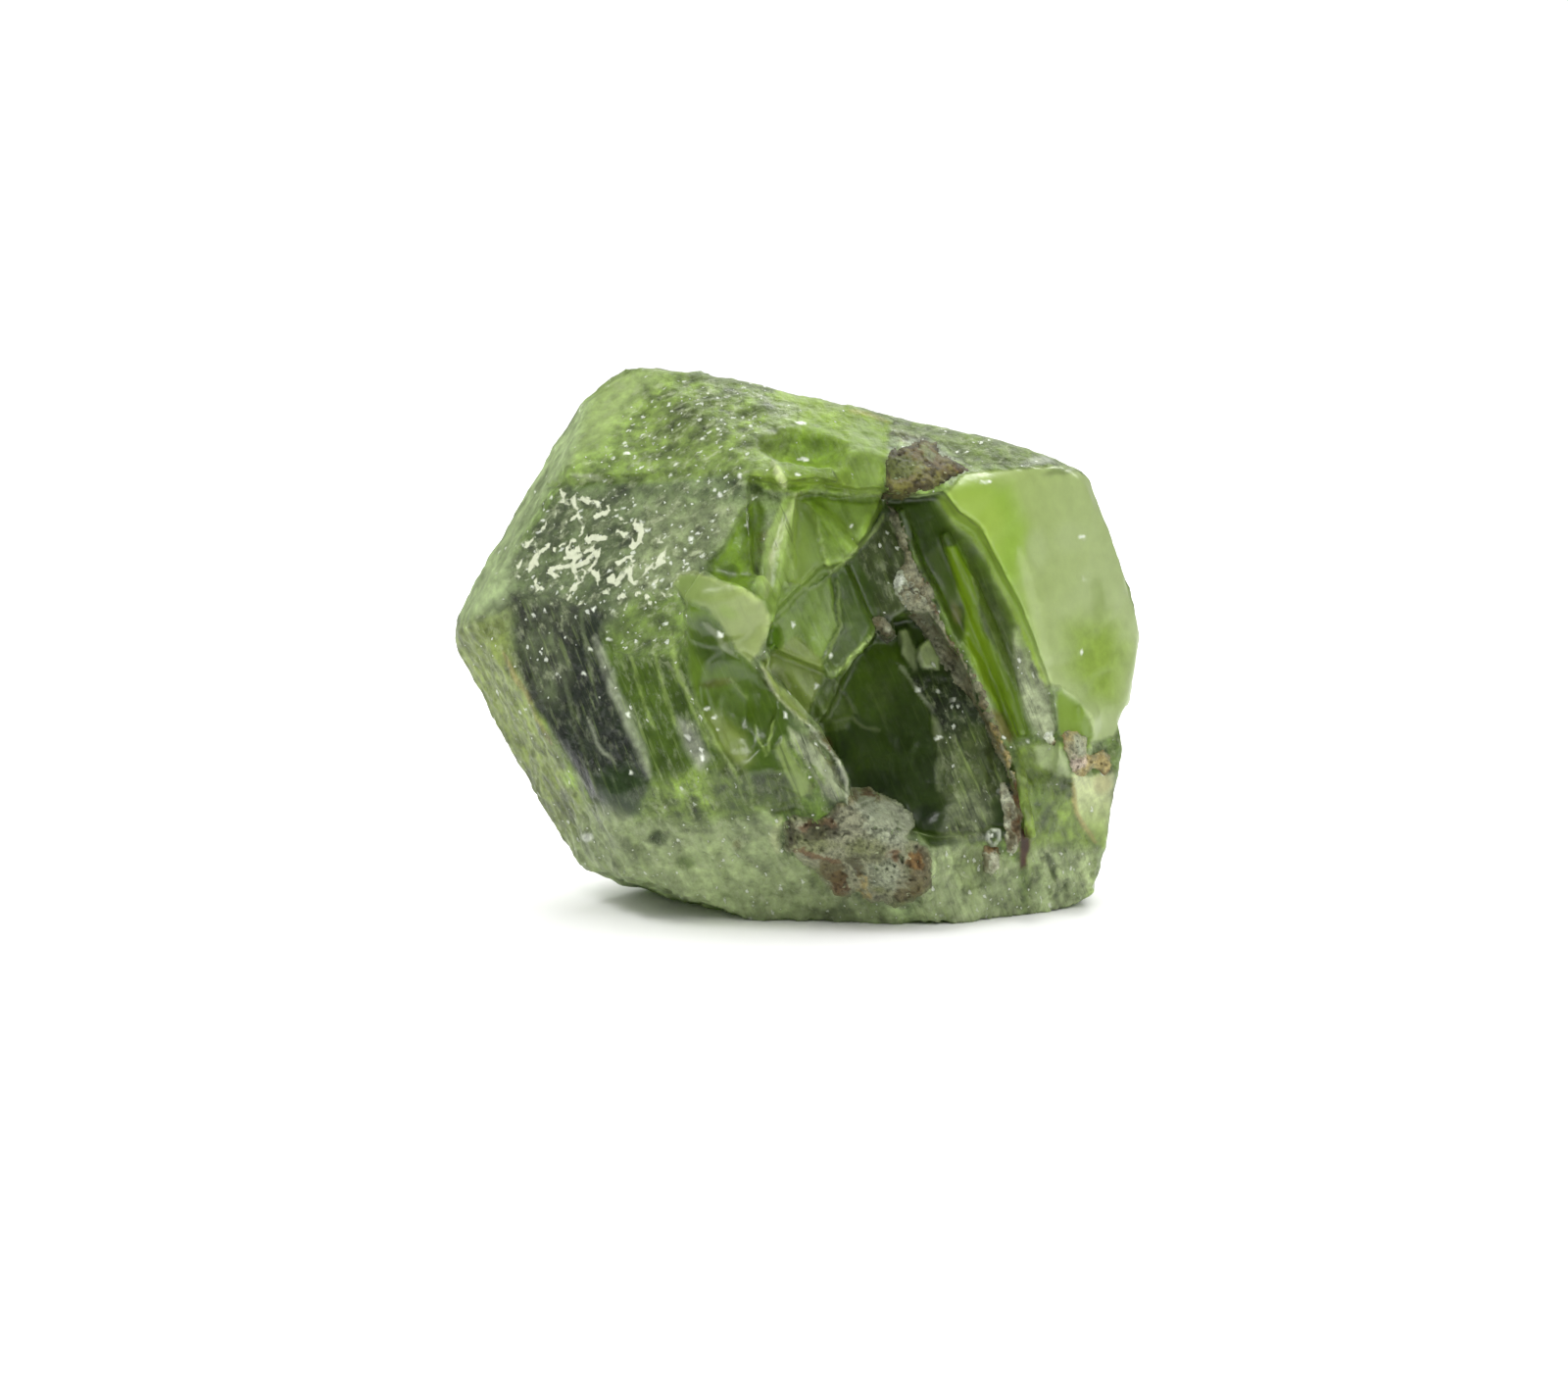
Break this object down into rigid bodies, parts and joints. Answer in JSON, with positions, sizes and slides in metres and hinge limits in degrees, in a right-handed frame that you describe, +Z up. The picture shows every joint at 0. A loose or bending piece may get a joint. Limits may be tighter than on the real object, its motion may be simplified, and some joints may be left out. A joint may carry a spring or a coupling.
{
  "type": "rough peridot stone",
  "caption": "Broken green peridot crystal with a frosted natural skin, a deep shelved break and host rock in its hollows, standing on a flat ground foot.",
  "frame": {"origin": "centre of the stone's bounding box, on the surface that its flat foot rests on", "axes": "+X to the right of the broken front, +Y from the broken front to the back, +Z up"},
  "size_m": [0.022, 0.0152, 0.0171],
  "materials": {
    "peridot": "translucent green crystal, frosted on its natural faces and glossy on its break"
  },
  "bodies": {
    "root": {"peridot": "peridot"}
  },
  "joints": []
}
